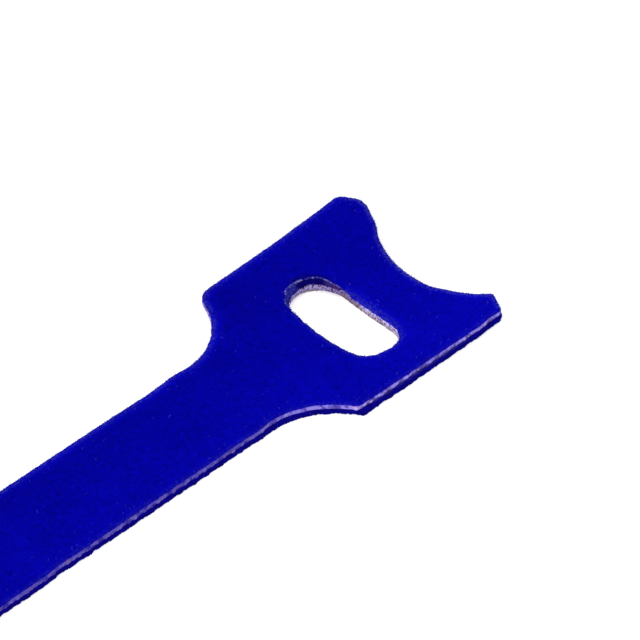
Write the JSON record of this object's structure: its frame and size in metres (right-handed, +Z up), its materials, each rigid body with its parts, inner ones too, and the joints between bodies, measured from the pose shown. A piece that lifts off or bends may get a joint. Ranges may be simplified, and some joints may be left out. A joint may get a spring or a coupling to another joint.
{
  "type": "hook and loop cable tie",
  "caption": "Flat hook and loop cable tie: a narrow strap widens into a head with a cross slot for its own tail and a hollow front end between ears.",
  "frame": {"origin": "under the middle of the tie's bounding box, on the surface that the tie lies on", "axes": "+X along the strap towards the head, +Y across to the head's left side, +Z up out of the loop face"},
  "size_m": [0.15, 0.0268, 0.0018],
  "materials": {
    "loop_fabric": "brushed loop pile, royal blue, pale at the cut edges",
    "hook_tape": "moulded nylon, dark navy, satin"
  },
  "bodies": {
    "root": {"loop_fabric": "loop_fabric", "hook_tape": "hook_tape"}
  },
  "joints": []
}
